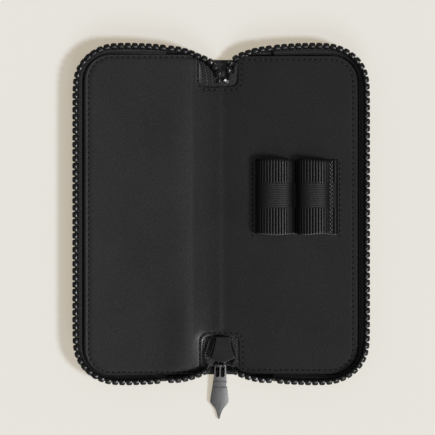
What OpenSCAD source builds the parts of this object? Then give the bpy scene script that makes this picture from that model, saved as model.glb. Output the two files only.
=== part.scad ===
// Zip-around leather case for two fountain pens, lying open like a book.
// Origin: centre of the spine's underside. +X to the pen loops, +Y away from
// the slider, +Z up, out of the lining. Both halves fold up to close.

/* [Case] */
// Distance from the spine's centre to a half's outer edge
half_w = 66.6; // [58:0.1:76]
// Half of the case's height, along the spine
half_h = 77.7; // [74:0.1:80]
// Radius of the two outer corners of each half
corner_r = 12.8; // [10:0.1:15]
// Distance from the spine's centre to each fold
fold_x = 11; // [11:0.1:13]
// Height of the fold's axis, inside the outer leather
fold_z = 0.6; // [0.4:0.1:0.9]

/* [Layers] */
// Thickness of the outer leather
cover_t = 1.4; // [1:0.1:1.6]
// Thickness of the stiffening board
board_t = 0.8; // [0.5:0.1:1]
// Thickness of the foam padding
padding_t = 1.0; // [0.8:0.1:1.2]
// Thickness of the leather lining
lining_t = 0.8; // [0.6:0.1:1]

/* [Zip] */
// Distance from one tooth to the next on the same side
tooth_pitch = 3.38; // [3:0.02:3.8]
// Width of a tooth along the chain
tooth_w = 2.2; // [1.8:0.1:2.4]
// Thickness of a tooth across the chain
tooth_t = 2.5; // [2:0.1:2.7]
// Length of a tooth from its tape to its tip
tooth_len = 4.2; // [3.6:0.1:4.2]
// Height of the teeth's middle above the ground
chain_z = 8.9; // [8:0.1:9]
// Thickness of the woven tape
tape_t = 0.6; // [0.4:0.1:0.8]
// Distance from the spine's centre at which the tape joins a firm half
firm_x = 26; // [24:0.5:28]
// Clearance where the firm tape passes into the loose stretch beside the spine (mm)
loose_gap = 0.2; // [0.1:0.05:0.4]

/* [Pen loops] */
// Width of the elastic band, along the pens
band_w = 35.5; // [25:0.5:40]
// Thickness of the elastic band
band_t = 1.1; // [0.8:0.1:1.3]
// Height of a loop above the lining
loop_h = 9; // [7:0.1:9]
// Where the first loop leaves the lining
band_x0 = 17.3; // [16.5:0.1:18]
// Middle of the seam between the two loops
band_x1 = 36.3; // [35:0.1:38]
// Where the second loop comes back to the lining
band_x2 = 52.6; // [51:0.1:53]
// Where the band's flat end goes through the lining
band_x3 = 56.6; // [56:0.1:58]
// Middle of the band along the spine
band_y = 8.6; // [4:0.1:10]

/* [Slider and puller] */
// Distance from the tip to the round bar it hangs on
puller_len = 26.2; // [22:0.1:28]
// Thickness of the puller
puller_t = 1.2; // [1:0.1:1.4]
// Greatest width of the nib shape
nib_w = 9.1; // [8:0.1:10]
// Distance from the spine's centre to the slider's tail
tail_y = -59.4; // [-60:0.1:-59]
// How far the slider sits off the spine's centre line
slider_x = 0.8; // [-1:0.1:1]
// How far the puller hangs off the spine's centre line
puller_x = 0.2; // [-0.4:0.1:0.4]
// Sideways turn of the puller in its hooks, in degrees
puller_turn = -1.7; // [-2:0.1:2]

/* [Hidden] */
$fn = 48;

// Heights of the layers' undersides
board_z = cover_t;
padding_z = board_z + board_t;
lining_z = padding_z + padding_t;
lining_top = lining_z + lining_t;
// The tape's sewn edge lies between the padding and the lining
sewn_z0 = padding_z + 0.2;
sewn_z1 = lining_z - 0.2;
sewn_w = 4.2;
cover_margin = 1;
board_inset = 2;
padding_inset = 5;
// Ends of the spine's leather, and of the lining's notches in it
spine_top = 74.7;
spine_bottom = -77.8;
notch_top = 61.7;
notch_bottom = -59;

leather = "#2b2b2b";
lining_leather = "#303030";
board_grey = "#8a8478";
foam_grey = "#4a4a4a";
tape_black = "#1c1c1c";
tooth_black = "#161616";
steel = "#b8b8b8";
slider_black = "#232323";
puller_grey = "#6c6c6c";

// How far a layer keeps from the fold, so that a right-angled fold mitres
function setback(z) = max(z - fold_z, 0) + 0.2;

function unit(v) = v / norm(v);
function mix(a, b, t) = a * (1 - t) + b * t;

// A smooth curve through the points, with n steps between two of them
function spline(a, b, c, d, t) = 0.5 * (2 * b + (c - a) * t
    + (2 * a - 5 * b + 4 * c - d) * t * t + (3 * b - a - 3 * c + d) * t * t * t);
function smooth(p, n) = let (e = len(p) - 1) [
    for (i = [0:e - 1]) for (k = [0:n - 1])
        spline(p[max(i - 1, 0)], p[i], p[i + 1], p[min(i + 2, e)], k / n),
    p[e]];
function runs(p) = [
    for (i = 0, s = 0; i < len(p); i = i + 1, s = s + (i < len(p) ? norm(p[i] - p[i - 1]) : 0)) s];
function at(p, run, s) = [
    for (c = [0:2]) lookup(s, [for (i = [0:len(p) - 1]) [run[i], p[i][c]]])];
function turned(p, side) = [for (i = [0:len(p) - 1]) let (q = p[side > 0 ? i : len(p) - 1 - i])
    [q.x * side, q.y, q.z]];

// Route of the teeth's middles round the right half's upper corner, and the
// route of the tape's foot on the edge of the lining beside each point
chain_corner = [
    [firm_x, 80.1, chain_z], [33, 80.7, chain_z], [40, 81, chain_z], [47, 81.1, chain_z],
    [53, 80.8, chain_z], [57, 79.9, chain_z], [61, 78.1, chain_z], [64.6, 75.5, chain_z],
    [67.2, 72.5, chain_z], [69.1, 69, chain_z], [70.1, 65, chain_z], [70.5, 60, chain_z],
    [70.6, 50, chain_z], [70.6, 36, chain_z], [70.6, 18, chain_z], [70.6, 0, chain_z]];
corner_c = [half_w - corner_r, half_h - corner_r];
function on_corner(a) = [corner_c.x + corner_r * cos(a), corner_c.y + corner_r * sin(a), sewn_z0];
foot_corner = [
    for (x = [firm_x, 33, 40, 47]) [x, half_h, sewn_z0],
    for (a = [90:-15:0]) on_corner(a),
    for (y = [60, 50, 36, 18, 0]) [half_w, y, sewn_z0]];
function whole_rim(p) = concat(p, [for (i = [len(p) - 2:-1:0]) [p[i].x, -p[i].y, p[i].z]]);
right_chain = smooth(whole_rim(chain_corner), 4);
right_foot = smooth(whole_rim(foot_corner), 4);

// Routes of the tape between a firm half and the spine: the edge that carries
// the teeth, and the foot, which is sewn under the lining
edge_top_left = [
    [-firm_x + loose_gap, 80.1, chain_z], [-19, 79.2, 8.5], [-13.6, 77.6, 7.6], [-10.6, 76.2, 6.9],
    [-7.6, 74.9, 6.2], [-5, 73.3, 5.5], [-2.7, 71, 5], [-1.2, 68, 4.6], [-0.6, 64.6, 4.3],
    [-0.6, 62, 4.2]];
foot_top_left = [
    [-firm_x + loose_gap, 78.4, 2.7], [-19, 78.3, 2.7], [-14, 77.9, 2.7], [-12, 76.6, 2.7],
    [-11, 74.4, 2.7], [-10.4, 72, 2.7], [-10, 69.6, 2.7], [-9.6, 67, 2.7], [-9.3, 64.4, 2.7],
    [-9.2, 62, 2.7]];
edge_bottom_left = [
    [-firm_x + loose_gap, -80.1, chain_z], [-20, -80, 8.7], [-14.5, -78.9, 8], [-10, -77.3, 7.2],
    [-7, -75.6, 6.3], [-5.4, -73.6, 5.4], [-6.6, -70.6, 4.6], [-6.9, -68, 4.6],
    [-5.8, -64, 4.4], [-4.6, -60, 3.6]];
foot_bottom_left = [
    [-firm_x + loose_gap, -78.4, 2.7], [-20, -78.3, 2.7], [-15, -78, 2.7], [-12.2, -76.8, 2.7],
    [-10.9, -74.8, 2.7], [-10.3, -72.8, 2.7], [-9.9, -70.4, 2.7], [-9.6, -67.8, 2.7],
    [-9.4, -64, 2.7], [-9.2, -60, 2.7]];

// A strip between two edges, thickened both ways along its own normal
module ribbon(edge, foot, t) {
    n = len(edge);
    side = [for (i = [0:n - 1]) let (along = edge[min(i + 1, n - 1)] - edge[max(i - 1, 0)])
        unit(cross(along, foot[i] - edge[i])) * t / 2];
    rings = [for (i = [0:n - 1]) each
        [edge[i] + side[i], foot[i] + side[i], foot[i] - side[i], edge[i] - side[i]]];
    sweep(rings, n, 4);
}

// Closed skin over n rings of m points each
module sweep(points, n, m) {
    faces = concat(
        [for (i = [0:n - 2]) for (k = [0:m - 1]) let (a = i * m + k, b = i * m + (k + 1) % m)
            each [[a, b, b + m], [a, b + m, a + m]]],
        [[for (k = [m - 1:-1:0]) k]],
        [[for (k = [0:m - 1]) (n - 1) * m + k]]);
    polyhedron(points, faces);
}

// The firm half's tape: a flat foot between the layers, then a leaning wall
module rim_tape(edge, foot) {
    n = len(edge);
    rings = [for (i = [0:n - 1])
        let (along = foot[min(i + 1, n - 1)] - foot[max(i - 1, 0)],
            out = unit(cross(along, [0, 0, -1])),
            rise = unit(edge[i] - foot[i]),
            top = edge[i] - rise * tooth_len * 0.12)
        each [
            foot[i] - out * sewn_w,
            foot[i] - out * sewn_w + [0, 0, sewn_z1 - sewn_z0],
            foot[i] + out * 0.25 + [0, 0, sewn_z1 - sewn_z0],
            top - out * tape_t / 2,
            top + out * tape_t / 2,
            foot[i] + out * 0.95]];
    sweep(rings, n, 6);
}

// One moulded tooth, along +Z from its tape, with a tapered head
module tooth() {
    w = tooth_w / 2;
    l = tooth_len / 2;
    rotate([90, 0, 0])
        linear_extrude(tooth_t, center = true)
            polygon([[-w, -l], [w, -l], [w, 0.4 * l], [0.6 * w, l], [-0.6 * w, l], [-w, 0.4 * l]]);
}

// Teeth at the pitch along an edge, from first to last, standing up by lift
module chain(edge, foot, first, last, lift0, lift1) {
    run = runs(edge);
    for (s = [first:tooth_pitch:last]) {
        p = at(edge, run, s);
        along = unit(at(edge, run, s + 0.4) - at(edge, run, s - 0.4));
        rise = unit(unit(p - at(foot, run, s)) + [0, 0, mix(lift0, lift1, s / last)]);
        across = unit(cross(rise, along));
        up = cross(along, across);
        multmatrix([
            [along.x, across.x, up.x, p.x],
            [along.y, across.y, up.y, p.y],
            [along.z, across.z, up.z, p.z],
            [0, 0, 0, 1]])
            tooth();
    }
}

// Outline of a half's layer: square at the fold, round at the outer corners
module half_outline(side, inset, fold_gap) {
    w = half_w - inset;
    h = half_h - inset;
    r = corner_r - inset;
    x0 = fold_x + fold_gap;
    scale([side, 1])
        union() {
            translate([x0, -h])
                square([w - r - x0, 2 * h]);
            translate([x0, r - h])
                square([w - x0, 2 * (h - r)]);
            for (y = [r - h, h - r])
                translate([w - r, y])
                    circle(r);
        }
}

module half_layer(side, z, t, inset) {
    translate([0, 0, z])
        linear_extrude(t)
            half_outline(side, inset, setback(z + t));
}

module spine_layer(z, t, y0, y1) {
    w = fold_x - setback(z + t);
    translate([-w, y0, z])
        cube([2 * w, y1 - y0, t]);
}

module spine_cover() {
    color(leather)
        spine_layer(0, cover_t, spine_bottom, spine_top);
}

module spine_board() {
    color(board_grey)
        spine_layer(board_z, board_t, spine_bottom + 2, spine_top - 2);
}

module spine_padding() {
    color(foam_grey)
        spine_layer(padding_z, padding_t - 0.1, notch_bottom + 8, notch_top - 5);
}

module spine_lining() {
    color(lining_leather)
        spine_layer(lining_z, lining_t, notch_bottom, notch_top);
}

// Both tapes, joined, under the lining past the slider's tail
module tape_end_bottom() {
    color(tape_black)
        translate([-7, notch_bottom + 0.2, padding_z + 0.1])
            cube([14, 7, tape_t]);
}

// Staple that joins the tapes below the slider
module bottom_stop() {
    color(steel)
        translate([-2.2, notch_bottom + 1.5, padding_z + 0.1 + tape_t])
            cube([4.4, 2, 0.28]);
}

// Pressed clip round the end of a tape edge
module top_stop(p, turn) {
    color(steel)
        translate(p)
            rotate([0, 0, turn])
                difference() {
                    translate([-1.3, -1.3, -1.2])
                        cube([2.6, 2.6, 2.4]);
                    translate([-1.4, -1.4, -tape_t / 2 - 0.1])
                        cube([2.2, 2.8, tape_t + 0.2]);
                }
}

module top_stop_left() {
    top_stop([-0.5, 64.4, 4.4], 0);
}

module top_stop_right() {
    top_stop([3.2, 64.4, 4.4], 180);
}

module gusset_tape(edge, foot) {
    e = smooth(edge, 3);
    f = smooth(foot, 3);
    color(tape_black)
        ribbon([for (i = [0:len(e) - 1]) mix(e[i], f[i], 0.12)], f, tape_t);
}

module gusset_teeth(edge, foot, last) {
    color(tooth_black)
        chain(smooth(edge, 4), smooth(foot, 4), tooth_pitch * 0.7, last, 1.2, 0);
}

function flipped_x(p) = [for (q = p) [-q.x, q.y, q.z]];
edge_top_right = [for (i = [0:len(edge_top_left) - 1]) let (q = edge_top_left[i])
    [-q.x + (i > 2 ? 2.2 * min(1, (i - 2) / 4) : 0), q.y + (i > 2 ? 1 : 0), q.z]];
foot_top_right = flipped_x(foot_top_left);
edge_bottom_right = flipped_x(edge_bottom_left);
foot_bottom_right = flipped_x(foot_bottom_left);

module gusset_tape_top_left() {
    gusset_tape(edge_top_left, foot_top_left);
}

module gusset_tape_top_right() {
    gusset_tape(edge_top_right, foot_top_right);
}

module gusset_tape_bottom_left() {
    gusset_tape(edge_bottom_left, foot_bottom_left);
}

module gusset_tape_bottom_right() {
    gusset_tape(edge_bottom_right, foot_bottom_right);
}

module gusset_teeth_top_left() {
    gusset_teeth(edge_top_left, foot_top_left, 31);
}

module gusset_teeth_top_right() {
    gusset_teeth(edge_top_right, foot_top_right, 27);
}

module gusset_teeth_bottom_left() {
    gusset_teeth(edge_bottom_left, foot_bottom_left, 21);
}

module gusset_teeth_bottom_right() {
    gusset_teeth(edge_bottom_right, foot_bottom_right, 21);
}

module cover(side) {
    color(leather)
        half_layer(side, 0, cover_t, -cover_margin);
}

module board(side) {
    color(board_grey)
        half_layer(side, board_z, board_t, board_inset);
}

module padding(side) {
    color(foam_grey)
        half_layer(side, padding_z, padding_t, padding_inset);
}

module rim_teeth(side) {
    run = runs(right_chain);
    color(tooth_black)
        chain(turned(right_chain, side), turned(right_foot, side),
            tooth_pitch * 0.5, run[len(run) - 1] - 1, 1.2, 1.2);
}

module tape(side) {
    color(tape_black)
        rim_tape(turned(right_chain, side), turned(right_foot, side));
}

module cover_left() {
    cover(-1);
}

module board_left() {
    board(-1);
}

module padding_left() {
    padding(-1);
}

module lining_left() {
    color(lining_leather)
        half_layer(-1, lining_z, lining_t, 0);
}

module tape_left() {
    tape(-1);
}

module teeth_left() {
    rim_teeth(-1);
}

module cover_right() {
    cover(1);
}

module board_right() {
    board(1);
}

module padding_right() {
    padding(1);
}

// The right lining has a slit at each end of the elastic band
module lining_right() {
    slit_w = band_t + 0.3;
    color(lining_leather)
        difference() {
            half_layer(1, lining_z, lining_t, 0);
            for (x = [band_x0 + band_t / 2, band_x3 - band_t / 2])
                translate([x - slit_w / 2, band_y - band_w / 2 - 0.3, lining_z - 0.5])
                    cube([slit_w, band_w + 0.6, lining_t + 1]);
        }
}

module tape_right() {
    tape(1);
}

module teeth_right() {
    rim_teeth(1);
}

// Half outline of a loop, standing on the lining from x0 to x1
function arch(x0, x1, z0, h) = [for (a = [180:-9:0])
    [(x0 + x1) / 2 + (x1 - x0) / 2 * sign(cos(a)) * pow(abs(cos(a)), 0.8),
        z0 + h * pow(sin(a), 0.7)]];

// A piece of the band: its outline, seen along the pens, drawn out to the
// band's width, with the outline's origin on the lining
module band_piece() {
    translate([0, band_y + band_w / 2, lining_top + 0.05])
        rotate([90, 0, 0])
            linear_extrude(band_w)
                children();
}

module band_loop(x0, x1) {
    band_piece()
        difference() {
            polygon(arch(x0, x1, 0, loop_h));
            polygon(arch(x0 + band_t, x1 - band_t, -0.01, loop_h - band_t));
        }
}

module pen_loop_band() {
    tail = lining_top - lining_z - 0.05;
    color(tape_black)
        union() {
            band_loop(band_x0, band_x1 + band_t / 2);
            band_loop(band_x1 - band_t / 2, band_x2);
            band_piece()
                translate([band_x0, -tail])
                    square([band_t, tail + 0.6]);
            band_piece()
                translate([band_x2 - band_t, 0])
                    square([band_x3 - band_x2 + band_t, band_t]);
            band_piece()
                translate([band_x3 - band_t, -tail])
                    square([band_t, tail + band_t]);
        }
}

// Slider: two plates on a post, with rims that keep the teeth in
slider_z = padding_z + 0.4;
plate_t = 1;
channel_h = 2.4;
nose_y = tail_y - 12.4;
bar_y = nose_y - 1.5;
bar_z = slider_z + 1.2;
bar_r = 0.5;
ring_x = 1.3;
ring_w = 1.1;

module slider_outline(margin) {
    w = 5.7 - margin;
    tail_w = 3.2 - margin;
    polygon([
        [-tail_w, tail_y - margin], [tail_w, tail_y - margin],
        [tail_w + 0.6, tail_y - 2.4], [w, tail_y - 8.6], [w - 0.1, tail_y - 9.9],
        [w - 1.4, tail_y - 11.2], [0.6, nose_y + margin], [-0.6, nose_y + margin],
        [1.4 - w, tail_y - 11.2], [0.1 - w, tail_y - 9.9], [-w, tail_y - 8.6],
        [-tail_w - 0.6, tail_y - 2.4]]);
}

module slider_plate(z, t) {
    translate([0, 0, z])
        linear_extrude(t)
            slider_outline(0);
}

module slider_rim(z, t) {
    translate([0, 0, z])
        linear_extrude(t)
            difference() {
                slider_outline(0);
                slider_outline(0.8);
                translate([-3, nose_y - 1])
                    square([6, 3.4]);
                translate([-2.3, tail_y - 1.5])
                    square([4.6, 3]);
            }
}

module slider_body() {
    top_z = slider_z + plate_t + channel_h;
    color(slider_black)
        union() {
            translate([slider_x, 0, 0]) {
                slider_plate(slider_z, plate_t);
                slider_plate(top_z, plate_t);
                slider_rim(slider_z + plate_t, 0.5);
                slider_rim(top_z - 0.5, 0.5);
                translate([0, nose_y + 3.2, slider_z + plate_t - 0.1])
                    linear_extrude(channel_h + 0.2)
                        polygon([[-1.3, 0], [0, -2.4], [1.3, 0], [0.5, 3], [-0.5, 3]]);
            }
            for (side = [-1, 1])
                translate([puller_x + side * ring_x, 0, 0])
                    puller_hook();
        }
}

// One of the two hooks under the slider's nose that carry the puller
module puller_hook() {
    ring_r = 1.3;
    translate([-ring_w / 2, bar_y, bar_z])
        rotate([0, 90, 0])
            difference() {
                cylinder(h = ring_w, r = ring_r);
                translate([0, 0, -1])
                    cylinder(h = ring_w + 2, r = bar_r + 0.2);
            }
    translate([-ring_w / 2, bar_y + bar_r + 0.45, slider_z])
        cube([ring_w, 3, plate_t]);
}

// Flat nib-shaped puller on the round bar that the hooks hold
module puller() {
    slope = asin((bar_z - 0.7) / puller_len);
    w = nib_w / 2;
    color(puller_grey)
        translate([puller_x, bar_y, bar_z])
            rotate([slope, 0, puller_turn]) {
                translate([-2.65, 0, 0])
                    rotate([0, 90, 0])
                        cylinder(h = 5.3, r = bar_r);
                translate([0, 0, -puller_t / 2])
                    linear_extrude(puller_t)
                        difference() {
                            puller_outline(w);
                            for (side = [-1, 1])
                                translate([side * ring_x, -bar_r - 2.15])
                                    square([1.75, 5.7], center = true);
                        }
            }
}

module puller_outline(w) {
    tip = -puller_len;
    polygon([
        [-2.65, 0], [2.65, 0], [3, -5], [3.25, -7.2], [3.6, -10.6], [0.9 * w, -14], [w, -17.8],
        [0.92 * w, -18.4], [0.81 * w, -19.1], [0.57 * w, -20.4], [0.38 * w, -21.6], [0.29 * w, -22.8],
        [0.2 * w, -24], [0.13 * w, tip + 1], [0.05 * w, tip],
        [-0.05 * w, tip], [-0.13 * w, tip + 1], [-0.2 * w, -24], [-0.29 * w, -22.8], [-0.38 * w, -21.6],
        [-0.57 * w, -20.4], [-0.81 * w, -19.1], [-0.92 * w, -18.4], [-w, -17.8], [-0.9 * w, -14],
        [-3.6, -10.6], [-3.25, -7.2], [-3, -5]]);
}

spine_cover();
spine_board();
spine_padding();
spine_lining();
tape_end_bottom();
bottom_stop();
top_stop_left();
top_stop_right();
gusset_tape_top_left();
gusset_tape_top_right();
gusset_tape_bottom_left();
gusset_tape_bottom_right();
gusset_teeth_top_left();
gusset_teeth_top_right();
gusset_teeth_bottom_left();
gusset_teeth_bottom_right();
cover_left();
board_left();
padding_left();
lining_left();
tape_left();
teeth_left();
cover_right();
board_right();
padding_right();
lining_right();
tape_right();
teeth_right();
pen_loop_band();
slider_body();
puller();
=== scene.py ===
"""Zip-around leather case for two fountain pens, lying open: the looks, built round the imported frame."""
from contextlib import contextmanager
from math import acos, asin, atan2, copysign, cos, degrees, exp, pi, radians, sin, tan

import bmesh
import bpy
import numpy as np
from mathutils import Matrix, Vector


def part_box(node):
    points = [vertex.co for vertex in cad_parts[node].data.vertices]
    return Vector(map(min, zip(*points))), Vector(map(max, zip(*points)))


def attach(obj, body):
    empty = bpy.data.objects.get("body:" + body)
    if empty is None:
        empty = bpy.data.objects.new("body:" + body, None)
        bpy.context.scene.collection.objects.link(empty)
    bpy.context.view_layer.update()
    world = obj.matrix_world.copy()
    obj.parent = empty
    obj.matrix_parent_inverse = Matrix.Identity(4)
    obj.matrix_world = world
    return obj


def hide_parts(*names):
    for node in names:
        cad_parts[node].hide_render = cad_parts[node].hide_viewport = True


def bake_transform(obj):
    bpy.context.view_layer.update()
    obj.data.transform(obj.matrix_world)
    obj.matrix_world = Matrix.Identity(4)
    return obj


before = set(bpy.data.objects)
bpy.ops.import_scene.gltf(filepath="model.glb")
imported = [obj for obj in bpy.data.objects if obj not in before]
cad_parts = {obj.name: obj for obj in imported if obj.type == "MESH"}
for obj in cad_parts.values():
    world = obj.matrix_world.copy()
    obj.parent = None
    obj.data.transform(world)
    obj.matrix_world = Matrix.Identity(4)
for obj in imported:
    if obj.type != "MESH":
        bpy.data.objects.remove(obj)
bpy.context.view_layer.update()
MM = 0.001
ops = bpy.ops


# ---- sizes
# Everything below is in millimetres until a mesh is made.

def node_box(name):
    """Lowest and highest corner of a CAD node, in millimetres."""
    low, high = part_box(name)
    return low / MM, high / MM


LINING_LOW, LINING_HIGH = node_box("lining_right")
COVER_HIGH = node_box("cover_right")[1]
SPINE_LOW, SPINE_HIGH = node_box("spine_cover")
NOTCH_LOW, NOTCH_HIGH = node_box("spine_lining")
BOARD_TOP = node_box("spine_board")[1].z
LOOPS_LOW, LOOPS_HIGH = node_box("pen_loop_band")
SLIDER_LOW, SLIDER_HIGH = node_box("slider_body")
HALF_W = LINING_HIGH.x
HALF_H = LINING_HIGH.y
LINING_TOP = LINING_HIGH.z
LINING_T = LINING_HIGH.z - LINING_LOW.z
CORNER_R = 12.8
FOLD_X = 11.0  # where a half folds, from the middle
FOLD_SPAN = 6.0  # how far to each side of it the leather bends
STITCH_PITCH = 2.65
TOOTH_PITCH = 3.38
CHAIN_Z = 8.9  # height of the teeth round the halves
FOOT_Z = 2.7  # height at which the tape is sewn in
RIB_PITCH = 1.39
RIBS_ABOVE = 15.1  # the elastic is plain between these two
RIBS_BELOW = 3.1
BAND_LOW = LOOPS_LOW.y - 0.8
BAND_HIGH = LOOPS_HIGH.y
BAND_MIDDLE = 8.6
SIDES = ((-1, "left"), (1, "right"))


# ---- camera, light and floor

def add_camera():
    """Straight above the open case, turned so that the spine runs up the picture."""
    height = 2.0
    seen_width = 210.5 * MM
    rim_height = 6 * MM
    ops.object.camera_add(location=(-1.2 * MM, -1.7 * MM, height), rotation=(0, 0, 0))
    camera = bpy.context.object
    camera.data.sensor_width = 36
    camera.data.lens = 36 * (height - rim_height) / seen_width
    camera.data.clip_start = 0.01
    camera.data.clip_end = 10
    bpy.context.scene.camera = camera


def add_sun(name, toward, strength, angle):
    """A broad distant lamp that shines from the given direction."""
    ops.object.light_add(type="SUN", location=Vector(toward).normalized())
    lamp = bpy.context.object
    lamp.name = name
    lamp.data.energy = strength
    lamp.data.angle = radians(angle)
    lamp.rotation_mode = "QUATERNION"
    lamp.rotation_quaternion = (-Vector(toward)).to_track_quat("-Z", "Y")


add_camera()


# ---- shader maths

def feed(tree, socket, value):
    """Links a wire to the socket, or sets the socket's own value."""
    if isinstance(value, Wire):
        tree.links.new(value.socket, socket)
    else:
        socket.default_value = value


class Wire:
    """A node's output that can be used in an expression: each operator adds a Math node."""

    def __init__(self, tree, socket=None):
        self.tree = tree
        self.socket = socket

    def node(self, kind, settings=None, sockets=None, output=0):
        """Adds a node: its settings first, then its sockets."""
        made = self.tree.nodes.new(kind)
        for name, value in (settings or {}).items():
            setattr(made, name, value)
        for name, value in (sockets or {}).items():
            feed(self.tree, made.inputs[name], value)
        return Wire(self.tree, made.outputs[output])

    def math(self, operation, *values):
        return self.node("ShaderNodeMath", {"operation": operation}, dict(enumerate(values)))

    def __add__(self, other):
        return self.math("ADD", self, other)

    def __sub__(self, other):
        return self.math("SUBTRACT", self, other)

    def __rsub__(self, other):
        return self.math("SUBTRACT", other, self)

    def __mul__(self, other):
        return self.math("MULTIPLY", self, other)

    __radd__ = __add__
    __rmul__ = __mul__


def new_finish(name, uv=False, **constants):
    """A material whose shader has these even values, and the point's place as a wire:
    on the object in metres, or along and across a strip by its own map."""
    material = bpy.data.materials.new(name)
    material.use_nodes = True
    tree = material.node_tree
    for key, value in constants.items():
        tree.nodes["Principled BSDF"].inputs[key.replace("_", " ")].default_value = value
    return material, Wire(tree).node("ShaderNodeTexCoord", output="UV" if uv else "Object")


def part_of(place, axis):
    """One coordinate of a vector."""
    return place.node("ShaderNodeSeparateXYZ", None, {0: place}, output="XYZ".index(axis))


def noise(place, scale, detail=2.0, roughness=0.5):
    return place.node("ShaderNodeTexNoise", None,
                      {"Vector": place, "Scale": scale, "Detail": detail, "Roughness": roughness})


def cells(place, scale):
    return place.node("ShaderNodeTexVoronoi", None, {"Vector": place, "Scale": scale})


def stretched(place, factors):
    return place.node("ShaderNodeVectorMath", {"operation": "MULTIPLY"}, {0: place, 1: factors})


def ridges(coordinate, pitch):
    """A smooth wave from 0 to 1 along a coordinate in metres."""
    return coordinate.math("SINE", coordinate * (2 * pi / pitch)) * 0.5 + 0.5


def colour(value):
    """A wire as it is, or a grey or a colour with full cover."""
    if isinstance(value, Wire):
        return value
    return (value, value, value, 1) if isinstance(value, float) else (*value, 1)


def between(share, dark, light):
    """A colour from dark to light."""
    return share.node("ShaderNodeMix", {"data_type": "RGBA"},
                      {"Factor": share, "A": colour(dark), "B": colour(light)}, output=2)


def dress(material, base, roughness, height, depth, **more):
    """Feeds what varies over the surface: its colour, its gloss and its relief."""
    bump = base.node("ShaderNodeBump", None, {"Height": height, "Distance": depth})
    varying = {"Base Color": base, "Roughness": roughness, "Normal": bump, **more}
    for name, value in varying.items():
        feed(base.tree, base.tree.nodes["Principled BSDF"].inputs[name], value)
    return material


def leather_finish(name, dark, light, roughness, grain_scale, grain_depth):
    """Leather: fine pebbles, a broad unevenness of shade, and pores that are a little duller."""
    material, place = new_finish(name, Specular_IOR_Level=0.5)
    pebbles = cells(place, grain_scale)
    creases = noise(place, grain_scale * 0.35, 4.0, 0.6)
    broad = noise(place, 35.0, 3.0, 0.55)
    return dress(material, between(broad * 0.7 + creases * 0.3, dark, light),
                 pebbles * 0.12 + broad * 0.1 + (roughness - 0.1),
                 pebbles * 0.6 + creases * 0.8, grain_depth)


def tape_finish(name, dark, light):
    """Woven zip tape: narrow columns of threads that slant one way and then the other."""
    material, place = new_finish(name, uv=True, Specular_IOR_Level=0.5)
    lengthwise = part_of(place, "X")
    across = part_of(place, "Y")
    column = 1.3 * MM
    slant = across.math("PINGPONG", across, column)
    threads = ridges(lengthwise + slant * 0.9, 1.25 * MM)
    fuzz = noise(place, 900.0, 3.0)
    weave = threads * 0.7 + ridges(across, column) * 0.3
    return dress(material, between(weave * 0.8 + fuzz * 0.2, dark, light), 0.8 - weave * 0.35,
                 weave + fuzz * 0.3, 0.45 * MM)


def elastic_finish(name, dark, light, rim_painted_highlight):
    """Woven elastic: ribs with gaps between them, and fine crossing threads on the plain part.
    The gaps are painted darker than the crests: painted shade. The metallic input only takes the gaps'
    soft reflection away, so that they look deep, which is painted shade too."""
    material, place = new_finish(name, uv=True, Specular_IOR_Level=0.55)
    round_the_pens = part_of(place, "X")
    along_the_pens = part_of(place, "Y")
    crest = ridges(round_the_pens + RIB_PITCH / 4 * MM, RIB_PITCH * MM)
    plain_middle = (RIBS_ABOVE + RIBS_BELOW) / 2 * MM
    plain_reach = (RIBS_ABOVE - RIBS_BELOW) / 2 * MM
    from_middle = place.math("ABSOLUTE", along_the_pens - plain_middle)
    ribbed = place.math("GREATER_THAN", from_middle, plain_reach)
    plain = 1 - ribbed
    warp = ridges(along_the_pens, 0.88 * MM)
    weft = ridges(round_the_pens, 0.46 * MM)
    fuzz = noise(place, 1200.0, 3.0)
    crossing = warp * 0.4 + weft * 0.2 + 0.1
    flat_end = place.math("GREATER_THAN", round_the_pens, -5.2 * MM)
    # Crests lighter, gaps between the ribs darker: painted shade in the gaps.
    shade = (ribbed * (crest - crossing) + crossing) * (1 - flat_end * 0.75)
    # The band's lower rim is painted much lighter: a painted highlight where the light catches it.
    at_highlit_rim = place.math("LESS_THAN", along_the_pens, (BAND_LOW + 0.5) * MM)
    woven = between(shade * 0.8 + fuzz * 0.2, dark, light)
    return dress(material, between(at_highlit_rim, woven, rim_painted_highlight), 0.88 - shade * 0.44 - plain * 0.1,
                 (warp * 0.6 + weft * 0.4) * plain + fuzz * 0.3, 0.09 * MM,
                 Metallic=(1 - crest) * ribbed * 0.95 + plain * 0.4)


def moulded_finish(name, dark, light, roughness):
    """Moulded or enamelled surface: slightly uneven gloss and a faint orange peel."""
    material, place = new_finish(name, Specular_IOR_Level=0.5)
    broad = noise(place, 160.0, 3.0)
    return dress(material, between(broad, dark, light), broad * 0.14 + (roughness - 0.07),
                 noise(place, 1500.0), 0.012 * MM)


def metal_finish(name, dark, light, roughness, brushing):
    """Plated metal with fine brushing along Y and a soft mottling."""
    material, place = new_finish(name, Metallic=1.0)
    lines = noise(stretched(place, (1.0, brushing, 1.0)), 5200.0, 3.0, 0.6)
    broad = noise(place, 220.0, 3.0)
    return dress(material, between(broad * 0.5 + lines * 0.5, dark, light),
                 lines * 0.16 + broad * 0.08 + (roughness - 0.12), lines, 0.01 * MM)


def fibre_finish(name, dark, light, scale):
    """Pressed board, foam, or the painted shade at the bottom of a hole: mottled, matte and slightly
    rough.
    """
    material, place = new_finish(name, Specular_IOR_Level=0.2)
    flecks = noise(place, scale, 5.0, 0.7)
    return dress(material, between(flecks, dark, light), flecks * 0.1 + 0.85,
                 flecks + cells(place, scale * 2) * 0.5, 0.08 * MM)


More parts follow.
